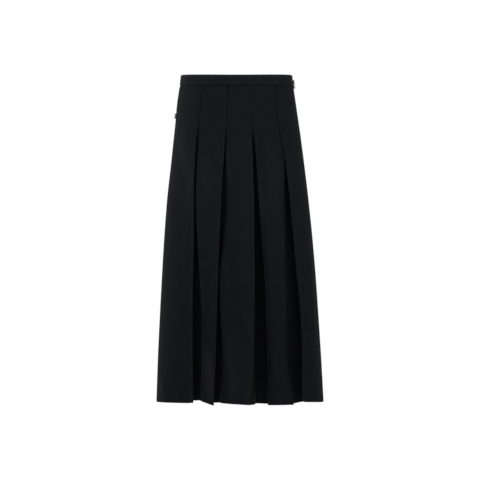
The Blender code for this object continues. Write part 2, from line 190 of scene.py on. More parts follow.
# where folds and the next panels' shoulders lie, and the shoulders' bend radii, in millimetres
frontNames = "height a aNext aBend b bNext bBend cRoll c d eNext eBend e"
frontRows = table(
    namedtuple("FrontLines", frontNames), 0, 13,
    (-12.5, -86.5, -84.1, 1, -21, -18.7, 1, 33, 40.7, 41, 97.2, 1, 99.6),
    (-60, -91, -88.6, 1, -24.2, -21.9, 1, 32, 40.3, 40.6, 99.2, 1, 101.6),
    (-105, -94.6, -92.2, 1, -26.2, -23.9, 1, 32, 40.15, 40.45, 102.6, 1, 105),
    (-125, -98.4, -94, 1, -26.9, -24.3, 1, 31, 39.4, 41.4, 107.2, 1, 109.6),
    (-150, -101.9, -95.2, 1, -28.8, -25.2, 2, 31, 38.8, 46, 110.8, 1, 113.3),
    (-200, -105, -98.2, 1, -32.2, -27.5, 3, 33, 40.5, 49.8, 120.2, 3, 123.4),
    (-300, -107.4, -101.8, 1, -38.8, -26, 10, 37, 43.7, 56.1, 121.6, 10, 135),
    (-400, -107.6, -98.3, 1, -43.1, -32.4, 10, 39, 44.7, 64, 123, 11, 144.4),
    (-500, -109.6, -92.4, 1, -46.8, -43.2, 3, 40, 45.2, 71.2, 124.6, 12, 153.4),
    (-600, -110.9, -87, 1, -49.8, -40.4, 4, 41.5, 45.3, 75.2, 127.4, 13, 162.6),
    (-700, -110.6, -88.2, 2, -52.8, -35, 8, 37.5, 45.2, 77.6, 126, 14, 166.4),
    (-814, -108.5, -90, 4, -56.6, -38.5, 12, 31.5, 45, 79.4, 144, 16, 166.1),
)
backNames = "height k kNext kBend l lNext lBend mNext mBend m nNext nBend n"
backRows = table(
    namedtuple("BackLines", backNames), 0, 13,
    (-12.5, -92, -89.6, 1, -32, -29.7, 1, 29.7, 1, 32, 88.6, 1, 91),
    (-60, -95.5, -93.1, 1, -33, -30.7, 1, 30.7, 1, 33, 93.1, 1, 95.5),
    (-105, -99, -96.6, 1, -34, -31.7, 1, 31.7, 1, 34, 97.6, 1, 100),
    (-125, -102, -98.2, 1, -35, -32, 1, 31.6, 1, 35, 99, 1, 103),
    (-150, -105, -99, 2, -37, -31.6, 2, 31, 1, 36, 99.6, 2, 106),
    (-200, -110, -103, 5, -39, -33, 6, 33, 3, 40, 105, 5, 113),
    (-300, -117, -107, 9, -43, -36, 12, 36, 6, 45, 110, 8, 122),
    (-400, -121, -109, 7, -46, -37, 10, 38, 8, 49, 113, 10, 128),
    (-500, -125, -111, 4, -48, -36, 6, 40, 11, 52, 116, 9, 132),
    (-600, -128, -112, 5, -49, -35, 7, 40, 10, 54, 119, 6, 137),
    (-700, -131, -112, 9, -50, -34, 11, 39, 8, 56, 122, 7, 141),
    (-814, -133, -111, 15, -51, -33, 16, 38, 14, 58, 125, 18, 145),
)

# pleats from the viewer's left: the fold, the side that it faces, the next panel's shoulder, the
# underlay's reach above and at the flare, the valley's and shoulder's depth at the hem, the hem's
# lift at the fold, inner fold, valley and shoulder, the line that the panel rolls over, and the
# painted highlight along the fold's edge
Pleat = namedtuple(
    "Pleat", "fold faces next reach flared depth nextDepth foldLift innerLift valleyLift nextLift "
    "roll shine"
)
frontPleats = table(
    Pleat, 3, 11,
    ("a", +1, "aNext", 40, 40, 52, 5, 4.8, 7.6, 7.6, 9.4, None, 0.18),
    ("b", +1, "bNext", 32, 26, 56, 18, -1.5, 9, 2.8, 3.7, None, 0.45),
    ("c", +1, None, 32, -6, 66, 0, 0, 0.8, 0.8, 0, "cRoll", 0.6),
    ("d", -1, None, 26, 14, 62, 0, -0.6, -1.2, -1.2, 0, None, 0),
    ("e", -1, "eNext", 26, 24, 60, 13, 9.5, 3.4, 2.2, -1.3, None, 0.1),
)
backPleats = table(
    Pleat, 3, 11,
    ("k", +1, "kNext", 34, 34, 50, 8, 3, 4, 4, 2.6, None, 0.9),
    ("l", +1, "lNext", 30, 30, 56, 14, 0, 2.4, 2.4, 1.4, None, 0.8),
    ("m", -1, "mNext", 30, 30, 55, 10, 0, 2.4, 2.4, 1.4, None, 0.7),
    ("n", -1, "nNext", 34, 34, 52, 6, 3, 4, 4, 2.6, None, 0.9),
)

# soft creases: x and z of both ends, half-width and rise in millimetres (a trough's is negative),
# and the painted highlight on the crease or, below 0, its painted shade
Crease = namedtuple("Crease", "x1 z1 x2 z2 width rise tone", defaults=(0.0,))
frontCreases = table(
    Crease, 0, 6,
    (88, -104, 64, -148, 9, -3, -0.12), (64, -148, 60, -222, 8, -2.8, -0.12),
    (80, -150, 88, -330, 13, 2.2, 0.05), (-29, -315, -17, -440, 9, -3, -0.2),
    (-17, -440, -6, -540, 10, -3, -0.15), (-4, -545, 20, -660, 10, -2, -0.12),
    (-138, -140, -120, -250, 16, 3, 0.16), (-115, -240, -119, -350, 9, 2.2, 0.14),
    (-150, -290, -132, -440, 18, -2.5), (-122, -300, -118, -460, 9, 1.5),
    (-190, -760, -180, -812, 6, 3, 0.35), (-34, -560, -30, -800, 7, 0.5, 0.12),
    (-16, -710, -8, -812, 20, 0.6, 0.06), (27, -770, 26, -812, 6, 0.3, 0.16),
    (-108, -140, -115, -300, 8, 0.6, 0.12), (-101, -190, -97, -420, 5, 0.4, 0.09),
    (-78, -190, -72, -290, 24, 0.8, 0.07), (-24, -175, -20, -260, 8, 0.4, 0.11),
    (98, -170, 108, -320, 14, 0.8, 0.06), (116, -185, 120, -250, 5, 0.3, 0.1),
    (18, -620, 10, -812, 14, 1.5, 0.05), (-24, -650, -14, -812, 14, 1.5, 0.2),
    (-69, -690, -64, -812, 12, 3, 0.26), (-82, -590, -80, -680, 8, -1.5, -0.22),
    (-78, -480, -72, -600, 8, -1.3, -0.1), (62, -350, 84, -812, 12, -1.5, -0.55),
    (123, -480, 129, -740, 7, -1.5, -0.1), (100, -420, 104, -640, 13, -1.5),
    (186, -420, 196, -640, 12, 1.6), (4, -180, -4, -300, 12, 1.5),
    (-60, -180, -66, -330, 12, 1.2),
)
backCreases = table(
    Crease, 0, 6,
    (-88, -108, -64, -152, 9, -2.6), (-60, -156, -58, -236, 8, -2.2),
    (20, -300, 8, -420, 14, -2.7), (74, -260, 86, -450, 15, 2.1),
    (-80, -470, -92, -640, 15, -2.2), (4, -560, -10, -760, 16, 2),
    (146, -380, 160, -560, 14, -2.2), (-158, -300, -172, -470, 16, 2.2),
    (186, -764, 178, -812, 6, 2.2),
)


def nearSeam(height):
    # 1 at the seam under the waistband, and 0 away from it
    away = (height - skirt["seamHeight"]) / skirt["seamSpread"]
    return math.exp(-away * away)


def formAt(height):
    sizes = [column(bodyRows, name, height) for name in Body._fields[1:]]
    return Body(height, *(size + skirt["fullness"] for size in sizes[:4]), *sizes[4:])


def bodyAt(height):
    # the form with the dip that the seam under the waistband makes
    form = formAt(height)
    dip = skirt["seamDip"] * nearSeam(height)
    return Body(height, *(size - dip for size in form[1:5]), *form[5:])


def sizesAt(body, x, y):
    # the oval's half-width and half-depth on the side of x and of y
    return body.right if x > 0 else body.left, body.back if y > 0 else body.front


def ovalPoint(body, x, y):
    # a point of the oval and its outward direction there
    power = skirt["roundness"] - 1
    out = Vector([
        math.copysign((abs(v) / size) ** power / size, v)
        for v, size in zip((x, y), sizesAt(body, x, y))
    ])
    return Vector((x, y)), out.normalized()


def ovalReach(along, half, reach):
    # how far the oval reaches out at a place along its half-width or half-depth
    power = skirt["roundness"]
    return reach * (1 - min(abs(along) / half, 0.9999) ** power) ** (1 / power)


def across(body, x, side):
    # the oval's point at x, in front (-1) or behind (+1)
    return ovalPoint(body, x, side * ovalReach(x, *sizesAt(body, x, side)))


def around(body, y, side):
    # the oval's point at y, at the left (-1) or right (+1)
    half, depth = sizesAt(body, side, y)
    return ovalPoint(body, side * ovalReach(y, depth, half), y)


def turned(body, degrees):
    # the oval's point at a turn from the viewer's left (0) by way of the front (90)
    turn = math.radians(degrees)
    toSides = (-math.cos(turn), -math.sin(turn))
    return ovalPoint(body, *(
        math.copysign(size * abs(v) ** (2 / skirt["roundness"]), v)
        for v, size in zip(toSides, sizesAt(body, *toSides))
    ))


def turnAt(body, x, side):
    share = (abs(x) / sizesAt(body, x, side)[0]) ** (skirt["roundness"] / 2)
    turn = math.degrees(math.acos(-math.copysign(share, x)))
    return turn if side < 0 else 360 - turn


def creaseLine(face, crease):
    # a crease's start and run in space, on the oval, and its sizes
    start, end = (
        Vector((*across(bodyAt(z), x, face)[0], z))
        for x, z in ((crease.x1, crease.z1), (crease.x2, crease.z2))
    )
    return start, end - start, crease.width, crease.rise, crease.tone


creaseLines = [creaseLine(-1, crease) for crease in frontCreases]
creaseLines += [creaseLine(+1, crease) for crease in backCreases]


def creaseAt(at, height):
    # how far the creases raise the cloth at a point of the oval, and their painted highlight or
    # shade there
    here = Vector((*at, height))
    past = skirt["creaseFade"]
    rise, toned = 0.0, 0.0
    for start, run, width, high, tone in creaseLines:
        along = (here - start).dot(run) / run.length_squared
        inside = 0.5 + past - abs(along - 0.5)
        if inside > 0:
            away = (here - start - run * min(max(along, 0.0), 1.0)).length / width
            if away < skirt["creaseEdge"]:
                share = math.exp(-away * away) * smoothStep(inside / (2 * past))
                rise += high * share
                toned += tone * share
    return rise, toned


def freed(body):
    # 0 where the pleats are stitched down, 1 where their layers have parted
    return smoothStep(body.opening / skirt["freeFrom"])


def pitchAt(body):
    return mix(skirt["stitchedPitch"], skirt["openPitch"], freed(body))


# a section's corner: place, bend radius, lift at the hem, painted light (a painted highlight, and
# below 0 painted shade), the fold that it is half of, and the points on the straight run before it
Corner = namedtuple("Corner", "place radius lift pressed fold steps", defaults=(0.0, None, 0))


def corner(body, x, side, radius, depth=0.0, layer=0, lift=0.0, pressed=0.0, fold=None):
    at, out = across(body, x, side)
    moved = at - out * (skirt["cloth"] / 2 + layer * pitchAt(body))
    rise, toned = creaseAt(at, body.height)
    near = 1 - smoothStep(depth / skirt["creaseReach"])
    moved += out * rise * near
    moved.y -= side * depth
    return Corner(moved, radius, lift, pressed + toned * near, fold)


def pleatCorners(body, lines, pleat, side):
    # the corners of one pleat, from its panel's edge to the next panel's shoulder
    free = freed(body)
    fold = lines[pleat.fold] - pleat.faces * skirt["cloth"] / 2
    full = mix(pleat.reach, pleat.flared, body.flare)
    inner = fold - pleat.faces * mix(skirt["tuck"], full, body.reach)
    depth = pleat.depth * body.opening
    turn = pitchAt(body) / 2
    # painted shade along a stitched fold that lies on a panel, and a painted highlight where two
    # stitched folds meet
    shade = (-skirt["stitchShade"] if pleat.next else skirt["meetingShine"]) * (1 - free)
    shine = pleat.shine * free + shade
    # painted shade inside an opened pleat
    gap = -skirt["gapShade"] * free * (1 - body.flare)
    lift, innerLift = pleat.foldLift, pleat.innerLift
    made = []
    edgeDepth = 0.0
    if pleat.roll:
        edgeDepth = skirt["rollDepth"] * body.flare
        ridge = corner(body, lines[pleat.roll], side, skirt["rollRadius"], lift=lift)
        # painted highlight on the ridge at the flare, and painted shade on the fold beside it
        made.append(ridge._replace(pressed=skirt["rollShine"] * body.flare))
        shine = shine * (1 - body.flare) - skirt["rollShade"] * body.flare
    made += [
        corner(body, fold, side, turn, edgeDepth, 0, lift, shine, pleat.fold),
        corner(body, fold, side, turn, edgeDepth, 1, lift, shine, pleat.fold),
        corner(body, inner, side, turn, depth, 1, innerLift, gap, pleat.fold + " inner"),
        corner(body, inner, side, turn, depth, 2, innerLift, gap, pleat.fold + " inner"),
    ]
    if pleat.next:
        under = fold + pleat.faces * skirt["valleySetback"]
        shoulder = lines[pleat.next]
        foot = mix(shoulder, under, mix(*skirt["footShare"], body.flare**2))
        nextDepth = pleat.nextDepth * body.opening
        sunk = depth * skirt["valleySink"]
        footDepth = mix(nextDepth, sunk, skirt["footDepth"])
        valleyLift, nextLift = pleat.valleyLift, pleat.nextLift
        footLift = mix(nextLift, valleyLift, skirt["footLift"])
        bend = lines[pleat.fold + "Bend"]
        # painted shade on the next panel's wall and shoulder bend
        dark = shade - skirt["bendShade"] * free
        made += [
            corner(body, under, side, skirt["valleyRadius"], sunk, 2, valleyLift, shade + gap),
            corner(body, foot, side, skirt["footRadius"], footDepth, 2, footLift, dark),
            corner(body, shoulder, side, bend, nextDepth, 0, nextLift, dark),
        ]
    made = made[::pleat.faces]
    for k in range(1, len(made)):
        if made[k].fold is None or made[k].fold != made[k - 1].fold:
            made[k] = made[k]._replace(steps=skirt["underSteps"])
    return made


def panelCorners(body, lines, pleat, following, side):
    # soft points across the panel that follows one pleat and leads to another
    opens, closes = pleat.faces > 0, following.faces < 0
    before = lines[pleat.next if opens else pleat.fold]
    after = lines[following.next if closes else following.roll or following.fold]

    def panelEnd(joined, atShoulder):
        # depth, lift and the share of the panel that its bend takes
        if not atShoulder:
            return 0.0, joined.foldLift, 0.0
        taken = skirt["bendRoom"] * lines[joined.fold + "Bend"] / (after - before)
        return joined.nextDepth * body.opening, joined.nextLift, taken

    fromDepth, fromLift, start = panelEnd(pleat, opens)
    toDepth, toLift, end = panelEnd(following, closes)
    made = []
    for share in evenly(start, 1 - end, skirt["panelSteps"] + 1)[1:-1]:
        depth = fromDepth * (1 - share) ** 2 + toDepth * share**2
        lift = mix(fromLift, toLift, share)
        made.append(corner(body, mix(before, after, share), side, 0.0, depth, 0, lift))
    return made


def sideCorners(body, start, end, lifts, shine):
    # from a side seam (start) to the first fold
    made = []
    for k in range(skirt["sideSteps"]):
        share = (k / skirt["sideSteps"]) ** skirt["sideCrowding"]
        at, out = turned(body, mix(start, end, share))
        rise, toned = creaseAt(at, body.height)
        if k == 0:
            rise -= skirt["seamSink"]
        place = at + out * (rise - skirt["cloth"] / 2)
        # painted highlight along the seam, fading over its first points
        toned += shine * max(0.0, 1 - k / skirt["seamPoints"])
        made.append(Corner(place, 0.0, mix(*lifts, share) * mm, toned))
    return made


def rounded(corners):
    # the corners as points (place, lift, painted light), each radius replaced by a bend
    points = [(corners[0].place, corners[0].lift, corners[0].pressed)]

    def add(place, lift, pressed, steps=0):
        last, lastLift, lastPaintedLight = points[-1]
        for k in range(1, steps + 1):
            t = k / (steps + 1)
            shade = min(mix(lastPaintedLight, pressed, t), 0.0)
            points.append((last.lerp(place, t), mix(lastLift, lift, t), shade))
        points.append((place, lift, pressed))

    for before, here, after in zip(corners, corners[1:], corners[2:]):
        if not here.radius:
            add(here.place, here.lift, here.pressed, here.steps)
            continue
        back, on = before.place - here.place, after.place - here.place
        turn = min(math.pi - back.angle(on, math.pi), skirt["bendTurn"])
        room = skirt["bendCut"] * min(back.length, on.length)
        cut = min(max(here.radius * math.tan(turn / 2), skirt["smallestCut"]), room)
        runsOn = here.fold is not None and before.fold == here.fold
        if here.fold:
            cut = (back if runsOn else on).length / 2
        start, end = here.place + back.normalized() * cut, here.place + on.normalized() * cut
        held = here.fold and (on if runsOn else back)
        if held:
            # a point beside each fold keeps the panel flat up to it
            reach = cut + min(skirt["foldHold"], (held.length - cut) / 2)
            beside = here.place + held.normalized() * reach
            besideShine = here.pressed * skirt["foldBeside"]
            if not runsOn:
                add(beside, here.lift, besideShine, here.steps)
        for k in range(1 if runsOn else 0, skirt["bendSteps"] + 1):
            t = k / skirt["bendSteps"]
            bend = start * (1 - t) ** 2 + here.place * 2 * t * (1 - t) + end * t * t
            toApex = 1 - abs(2 * t - 1)
            if here.fold:
                toApex = skirt["foldSpread"] * (1 - t if runsOn else t)
            pressed = here.pressed * smoothStep(toApex)
            if pressed < 0:
                # painted shade stays inside its pleat
                pressed = here.pressed * (1 - t * t * (after.pressed > here.pressed))
                pressed *= 1 - (1 - t) ** 2 * (before.pressed > here.pressed)
            add(bend, here.lift, pressed, here.steps if k == 0 and not held else 0)
        if held and runsOn:
            add(beside, here.lift, besideShine)
    add(corners[-1].place, corners[-1].lift, corners[-1].pressed)
    return points


def section(height, rows, pleats, side):
    # one level of the front or back, from the viewer's left to the right
    body = bodyAt(height)
    lines = {name: column(rows, name, height) for name in rows[0]._fields[1:]}
    share = (height - skirt["seamHeight"]) / (skirt["hemHeight"] - skirt["seamHeight"])
    right = 180 - skirt["rightSeamTurn"] * share
    gap = skirt["seamGap"]
    ends = (gap, right - gap) if side < 0 else (360 - gap, right + gap)
    groups = [pleatCorners(body, lines, pleat, side) for pleat in pleats]
    first = turnAt(body, groups[0][0].place.x, side)
    last = turnAt(body, groups[-1][-1].place.x, side)
    corners = sideCorners(body, ends[0], first, skirt["leftLift"], skirt["leftSeamShine"])
    for k, group in enumerate(groups):
        corners += group
        if k + 1 < len(groups) and (pleats[k].next or pleats[k + 1].next):
            corners += panelCorners(body, lines, pleats[k], pleats[k + 1], side)
    shine = mix(*skirt["rightSeamShine"], freed(body))
    corners += sideCorners(body, ends[1], last, skirt["rightLift"], shine)[::-1]
    grown = max(share, 0.0) ** skirt["liftPower"]
    return [(place, height + lift * grown, pressed) for place, lift, pressed in rounded(corners)]


def inwards(points, side, depth):
    # the section moved to the cloth's wrong side
    moved = []
    last = len(points) - 1
    for k, (place, height, pressed) in enumerate(points):
        run = points[min(k + 1, last)][0] - points[max(k - 1, 0)][0]
        wrong = Vector((side * run.y, -side * run.x)).normalized()
        moved.append((place + wrong * depth, height, pressed))
    return moved


def rowHeights():
    heights, start = [], skirt["startHeight"]
    for end, rows in skirt["stretches"]:
        heights += evenly(start * mm, end * mm, rows)[:-1]
        start = end
    return heights + [start * mm]


def paintedHemAndSeam(place, height, side):
    # the painted highlight on the hem's edge and, below 0, the painted shade in the seam under the
    # waistband
    hemward = smoothStep(1 - (height - skirt["hemHeight"]) / skirt["hemEdge"])
    if hemward:
        outermost, _ = across(bodyAt(height), place.x, side)
        depth = abs(outermost.y) - abs(place.y)
        hemward *= 1 - smoothStep(depth / skirt["hemShineReach"])
    return hemward - skirt["seamShade"] * nearSeam(height)


def clothPiece(name, points, faces, uvs, paintedLightAt, thickness):
    # a live wall on a surface whose map, one pair for each face corner, is in metres
    piece = newMesh(name, points, faces)
    layer = piece.data.uv_layers.new(name="cloth")
    layer.data.foreach_set("uv", [value for pair in uvs for value in pair])
    # painted highlight and shade for each point, read by the material
    piece.data.attributes.new("pressed", "FLOAT", "POINT").data.foreach_set("value", paintedLightAt)
    piece.data.shade_smooth()
    wall = piece.modifiers.new("wall", "SOLIDIFY")
    wall.thickness, wall.offset = thickness, 0.0
    print(name, "has", len(points), "points")
    return piece


def clothPanel(name, rows, pleats, side):
    heights, hem = rowHeights(), skirt["hemHeight"]
    levels = [(height, 0.0) for height in heights] + [(hem, skirt["hemLayer"] / 2)]
    levels += [(hem + up, skirt["hemLayer"]) for up in skirt["hemRows"]]
    points, paintedLightAt, uvs = [], [], []
    for i, (height, inward) in enumerate(levels):
        outside = i <= len(heights)
        row = section(height, rows, pleats, side)
        if inward:
            row = inwards(row, side, inward)
        run = [0.0]
        for (a, _, _), (b, _, _) in zip(row, row[1:]):
            run.append(run[-1] + (b - a).length)
        for (place, lifted, pressed), u in zip(row, run):
            points.append((*place, lifted))
            # the section's painted light, with the hem's painted highlight and the seam's painted
            # shade
            pressed = pressed + paintedHemAndSeam(place, height, side) if outside else 0.0
            paintedLightAt.append(min(max(pressed, -1.0), 1.0))
            uvs.append((u - run[-1] / 2, height if outside else 2 * hem - height))
    count = len(row)
    faces = []
    for i in range(len(levels) - 1):
        for a in range(i * count, (i + 1) * count - 1):
            faces.append((a, a + count, a + count + 1, a + 1)[::-side])
    corners = [uvs[v] for quad in faces for v in quad]
    return clothPiece(name, points, faces, corners, paintedLightAt, skirt["cloth"])


frontCloth = clothPanel("skirtFront", frontRows, frontPleats, -1)
backCloth = clothPanel("skirtBack", backRows, backPleats, +1)
riding(frontCloth, "skirt_cloth", "skirt_front")
riding(backCloth, "skirt_cloth_back", "skirt_back")

waistband = {
    "cloth": 0.0008,
    "top": 0.0133,  # where the fold at its top lies in front
    "sideRise": 0.0033,
    "length": 0.79,
    "innerDepth": 0.0030,  # from the outer leaf's face to the inner leaf's middle
    "innerDrop": 0.0038,  # how far the inner leaf reaches below the seam
    "points": 200,
    "topRound": 0.0013,
    "topSteps": 8,
    # painted highlights on the top fold and just above the seam
    "topShine": 0.6,
    "lowShine": 0.12,
}


def bandProfile():
    # (depth inwards, height, painted light) from the outer leaf's lower edge over the top to the
    # inner
    low, top = skirt["seamHeight"], waistband["top"]
    skin = waistband["cloth"] / 2
    deep = waistband["innerDepth"]
    shine = waistband["topShine"]
    profile = [
        # painted shade in the seam, then a painted highlight just above it
        (skin + 0.7 * mm, low + 0.1 * mm, -skirt["seamShade"]),
        (skin + 0.1 * mm, low + 0.9 * mm, 0.0),
        (skin, low + 2.2 * mm, waistband["lowShine"]),
        (skin, low + 3.6 * mm, 0.0),
        (skin - 0.1 * mm, low / 2, 0.0),
        (skin - 0.1 * mm, top / 3, 0.0),
        (skin - 0.1 * mm, top - 5 * mm, 0.25 * shine),
    ]
    middle, radius = (skin + deep) / 2, (deep - skin) / 2
    for turn in evenly(0.0, math.pi, waistband["topSteps"]):
        rise = waistband["topRound"] * (math.sin(turn) - 1)
        # painted highlight over the top fold
        topHighlight = shine * max(0.6, math.sin(turn)) if turn < 2 else 0.0
        profile.append((middle - radius * math.cos(turn), top + rise, topHighlight))
    profile += [(deep, height, 0.0) for height in (top / 3, low / 2, low)]
    profile.append((deep, low - waistband["innerDrop"], 0.0))
    return profile


def bandPoint(degrees, depth, height):
    body = bodyAt(height)
    at, out = turned(body, degrees)
    low, top = skirt["seamHeight"], waistband["top"]
    share = min(max((height - low) / (top - low), 0.0), 1.0)
    rise = waistband["sideRise"] * share * abs(at.x / body.left) ** 2
    return Vector((*(at - out * depth), height + rise))


def makeWaistband():
    profile = bandProfile()
    count = waistband["points"]
    points, paintedLightAt = [], []
    for depth, height, pressed in profile:
        points += [bandPoint(360 * k / count, depth, height) for k in range(count)]
        paintedLightAt += [pressed] * count
    down = [0.0]
    for before, after in zip(profile, profile[1:]):
        down.append(down[-1] - math.dist(before[:2], after[:2]))
    faces, uvs = [], []
    pitch = waistband["length"] / count
    for i in range(len(profile) - 1):
        for k in range(count):
            a, b = i * count + k, i * count + (k + 1) % count
            faces.append((a, b, b + count, a + count))
            left, right = k * pitch, (k + 1) * pitch
            uvs += [(left, down[i]), (right, down[i]), (right, down[i + 1]), (left, down[i + 1])]
    return clothPiece("waistbandCloth", points, faces, uvs, paintedLightAt, waistband["cloth"])


bandCloth = makeWaistband()
riding(bandCloth, "band_cloth", "waistband")
print("waistband made")


def setInputs(tree, node, values):
    # each input, by name or number, to a value, a node's first output or another output
    for name, value in dict(values).items():
        if isinstance(value, bpy.types.Node):
            value = value.outputs[0]
        if isinstance(value, bpy.types.NodeSocket):
            tree.links.new(value, node.inputs[name])
        else:
            node.inputs[name].default_value = value


def addNode(tree, kind, inputs=(), **settings):
    node = tree.nodes.new(kind)
    for name, value in settings.items():
        setattr(node, name, value)
    setInputs(tree, node, inputs)
    return node


def mathNode(tree, operation, *values):
    return addNode(tree, "ShaderNodeMath", enumerate(values), operation=operation)


def newTree(name, kind, takes, gives):
    # a group with named inputs and outputs, and what its inputs give
    tree = bpy.data.node_groups.new(name, kind)
    for direction, sockets in (("INPUT", takes), ("OUTPUT", gives)):
        for socket, holds in sockets.items():
            holder = "NodeSocket" + holds
            tree.interface.new_socket(socket, in_out=direction, socket_type=holder)
    return tree, tree.nodes.new("NodeGroupInput").outputs


stitching = {"pitch": 0.0022, "length": 0.0016, "radius": 0.0002, "segments": 6, "rings": 5}


def stitchTree():
    # small thread ovals along a line, lying along it
    tree, given = newTree("stitchesAlong", "GeometryNodeTree", {
        "Line": "Geometry", "Pitch": "Float", "Length": "Float", "Radius": "Float",
        "Thread": "Material",
    }, {"Stitches": "Geometry"})
    points = addNode(tree, "GeometryNodeCurveToPoints", {
        "Curve": given["Line"], "Length": given["Pitch"],
    }, mode="LENGTH").outputs
    ball = addNode(tree, "GeometryNodeMeshUVSphere", {
        "Segments": stitching["segments"], "Rings": stitching["rings"], "Radius": 1.0,
    })
    half = mathNode(tree, "MULTIPLY", given["Length"], 0.5)
    size = {"X": given["Radius"], "Y": given["Radius"], "Z": half}
    made = addNode(tree, "GeometryNodeTransform", {
        "Geometry": ball, "Scale": addNode(tree, "ShaderNodeCombineXYZ", size),
    })
    made = addNode(tree, "GeometryNodeInstanceOnPoints", {
        "Points": points["Points"], "Rotation": points["Rotation"], "Instance": made,
    })
    made = addNode(tree, "GeometryNodeRealizeInstances", {"Geometry": made})
    made = addNode(tree, "GeometryNodeSetShadeSmooth", {"Geometry": made})
    values = {"Geometry": made, "Material": given["Thread"]}
    made = addNode(tree, "GeometryNodeSetMaterial", values)
    addNode(tree, "NodeGroupOutput", {"Stitches": made})
    return tree


stitchesAlong = stitchTree()


def madeReal(piece):
    # the piece with its modifiers applied, as a plain mesh
    name = piece.name
    shown = piece.evaluated_get(bpy.context.evaluated_depsgraph_get())
    mesh = bpy.data.meshes.new_from_object(shown)
    mesh.name = name
    bpy.data.objects.remove(piece)
    return newObject(name, mesh)


def lineCurve(name, lines, closed=False):
    curve = bpy.data.curves.new(name, "CURVE")
    curve.dimensions = "3D"
    for line in lines:
        spline = curve.splines.new("POLY")
        spline.points.add(len(line) - 1)
        for point, at in zip(spline.points, line):
            point.co = (*at, 1.0)
        spline.use_cyclic_u = closed
    return newObject(name, curve)


def stitchRows(name, lines):
    # one mesh of stitches along lines of points
    guide = lineCurve(name, lines)
    node = guide.modifiers.new("stitches", "NODES")
    node.node_group = stitchesAlong
    values = {
        "Pitch": stitching["pitch"],
        "Length": stitching["length"],
        "Radius": stitching["radius"],
        "Thread": thread,
    }
    for item in stitchesAlong.interface.items_tree:
        if item.name in values:
            node[item.identifier] = values[item.name]
    return madeReal(guide)


surface = {"Colour": "Color", "Roughness": "Float", "Height": "Float"}  # what each group gives


grain = {
    "diagonal": 0.7,  # the twill's lines against its upright threads
    "upright": 0.3,
    "twillTone": 0.05,
    "mottleScale": 55.0,  # noise scales are to the metre
    "fuzzScale": 1400.0,
    "fuzz": 0.6,
    "smoothed": -0.18,  # what a painted highlight's share adds to roughness
    "patchScale": 90.0,
    "detail": 3.0,
    "fineDetail": 2.0,
    "patchRoughness": 0.4,
}


def weaveGroup():
    # a fine twill from a cloth's own map in metres, with a soft mottle, painted highlights and
    # painted shade
    tree, given = newTree("woolWeave", "ShaderNodeTree", {
        "Map": "Vector", "Colour": "Color", "Shine": "Color", "Pressed": "Float",
        "Polish": "Float", "Threads": "Float", "Mottle": "Float", "Roughness": "Float",
    }, surface)

    def maths(operation, *values):
        return mathNode(tree, operation, *values)

    def noise(scale, detail):
        values = {"Vector": given["Map"], "Scale": scale, "Detail": detail}
        return addNode(tree, "ShaderNodeTexNoise", values)

    parts = addNode(tree, "ShaderNodeSeparateXYZ", {0: given["Map"]}).outputs
    u = maths("MULTIPLY", parts["X"], given["Threads"])
    v = maths("MULTIPLY", parts["Y"], given["Threads"])
    diagonal = maths("SINE", maths("MULTIPLY", maths("ADD", u, v), 3.1416))
    upright = maths("SINE", maths("MULTIPLY", u, 6.2832))
    upright = maths("MULTIPLY", upright, grain["upright"])
    twill = maths("MULTIPLY_ADD", diagonal, grain["diagonal"], upright)
    uneven = maths("SUBTRACT", noise(grain["mottleScale"], grain["detail"]), 0.5)
    shade = maths("MULTIPLY_ADD", uneven, given["Mottle"], 1.0)
    shade = maths("MULTIPLY_ADD", twill, grain["twillTone"], shade)
    # painted shade: the colour darkens where the painted light is below 0
    sunk = maths("ADD", maths("MINIMUM", given["Pressed"], 0.0), 1.0)
    toned = addNode(tree, "ShaderNodeVectorMath", {
        0: given["Colour"], "Scale": maths("MULTIPLY", shade, sunk),
    }, operation="SCALE")
    # painted highlight: towards the shine's colour, and smoother, where the painted light is above
    # 0
    highlightShare = maths("MULTIPLY", maths("MAXIMUM", given["Pressed"], 0.0), given["Polish"])
    edges = addNode(tree, "ShaderNodeMix", {
        "Factor": highlightShare, "A": toned, "B": given["Shine"],
    }, data_type="RGBA")
    fuzz = noise(grain["fuzzScale"], grain["fineDetail"])
    addNode(tree, "NodeGroupOutput", {
        "Colour": edges.outputs["Result"],
        "Roughness": maths("MULTIPLY_ADD", highlightShare, grain["smoothed"], given["Roughness"]),
        "Height": maths("MULTIPLY_ADD", fuzz, grain["fuzz"], twill),
    })
    return tree


def dressedGroup(name, stretch, pebbled):
    # uneven colour and roughness over a place, with a pebbled grain or long scratches
    tree, given = newTree(name, "ShaderNodeTree", {
        "Place": "Vector", "Colour": "Color", "Scale": "Float", "Unevenness": "Float",
        "Roughness": "Float",
    }, surface)
    stretched = addNode(tree, "ShaderNodeVectorMath", {
        0: given["Place"], 1: stretch,
    }, operation="MULTIPLY")
    if pebbled:
        relief = addNode(tree, "ShaderNodeTexVoronoi", feature="SMOOTH_F1")
    else:
        relief = addNode(tree, "ShaderNodeTexNoise", {"Detail": grain["fineDetail"]})
    setInputs(tree, relief, {"Vector": stretched, "Scale": given["Scale"]})
    patches = addNode(tree, "ShaderNodeTexNoise", {
        "Vector": given["Place"], "Scale": grain["patchScale"], "Detail": grain["detail"],
    })
    uneven = mathNode(tree, "SUBTRACT", patches, 0.5)
    uneven = mathNode(tree, "MULTIPLY", uneven, given["Unevenness"])
    toned = addNode(tree, "ShaderNodeVectorMath", {
        0: given["Colour"], "Scale": mathNode(tree, "ADD", uneven, 1.0),
    }, operation="SCALE")
    addNode(tree, "NodeGroupOutput", {
        "Colour": toned,
        "Roughness": mathNode(
            tree, "MULTIPLY_ADD", uneven, grain["patchRoughness"], given["Roughness"]
        ),
        "Height": relief,
    })
    return tree


